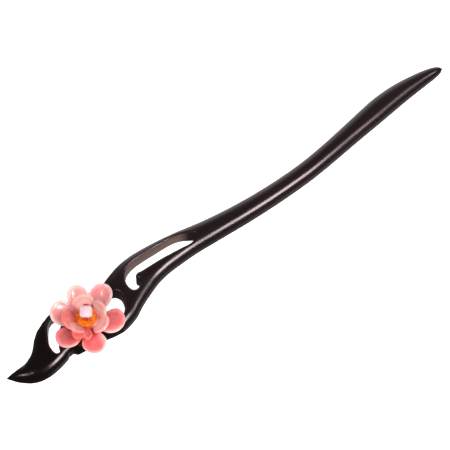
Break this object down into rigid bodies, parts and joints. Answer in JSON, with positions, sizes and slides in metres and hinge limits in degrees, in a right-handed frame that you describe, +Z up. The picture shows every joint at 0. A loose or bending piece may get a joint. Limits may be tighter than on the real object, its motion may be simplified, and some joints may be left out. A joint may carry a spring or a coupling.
{
  "type": "hair stick",
  "caption": "Carved dark wooden hair stick with a leaf-shaped pierced head, a tapering shank and a pink glass flower with a pearly bead tied on the head.",
  "frame": {"origin": "On the surface that the stick rests on, midway between its two tips and level with the flower's axis.", "axes": "+X runs to the tip of the shank, +Y to the high side of the head, +Z up through the flower."},
  "size_m": [0.1802, 0.0237, 0.0163],
  "materials": {
    "ebony": "polished",
    "outer_glass": "fire-polished milky glass",
    "inner_glass": "fire-polished milky glass",
    "stamen_glass": "granular glass",
    "bead_glass": "pearly glass",
    "wire": "crimson thread over fine wire"
  },
  "bodies": {
    "root": {"stick": "ebony", "outer_flower": "outer_glass", "inner_flower": "inner_glass", "stamens": "stamen_glass", "centre_bead": "bead_glass", "flower_wire": "wire"}
  },
  "joints": []
}
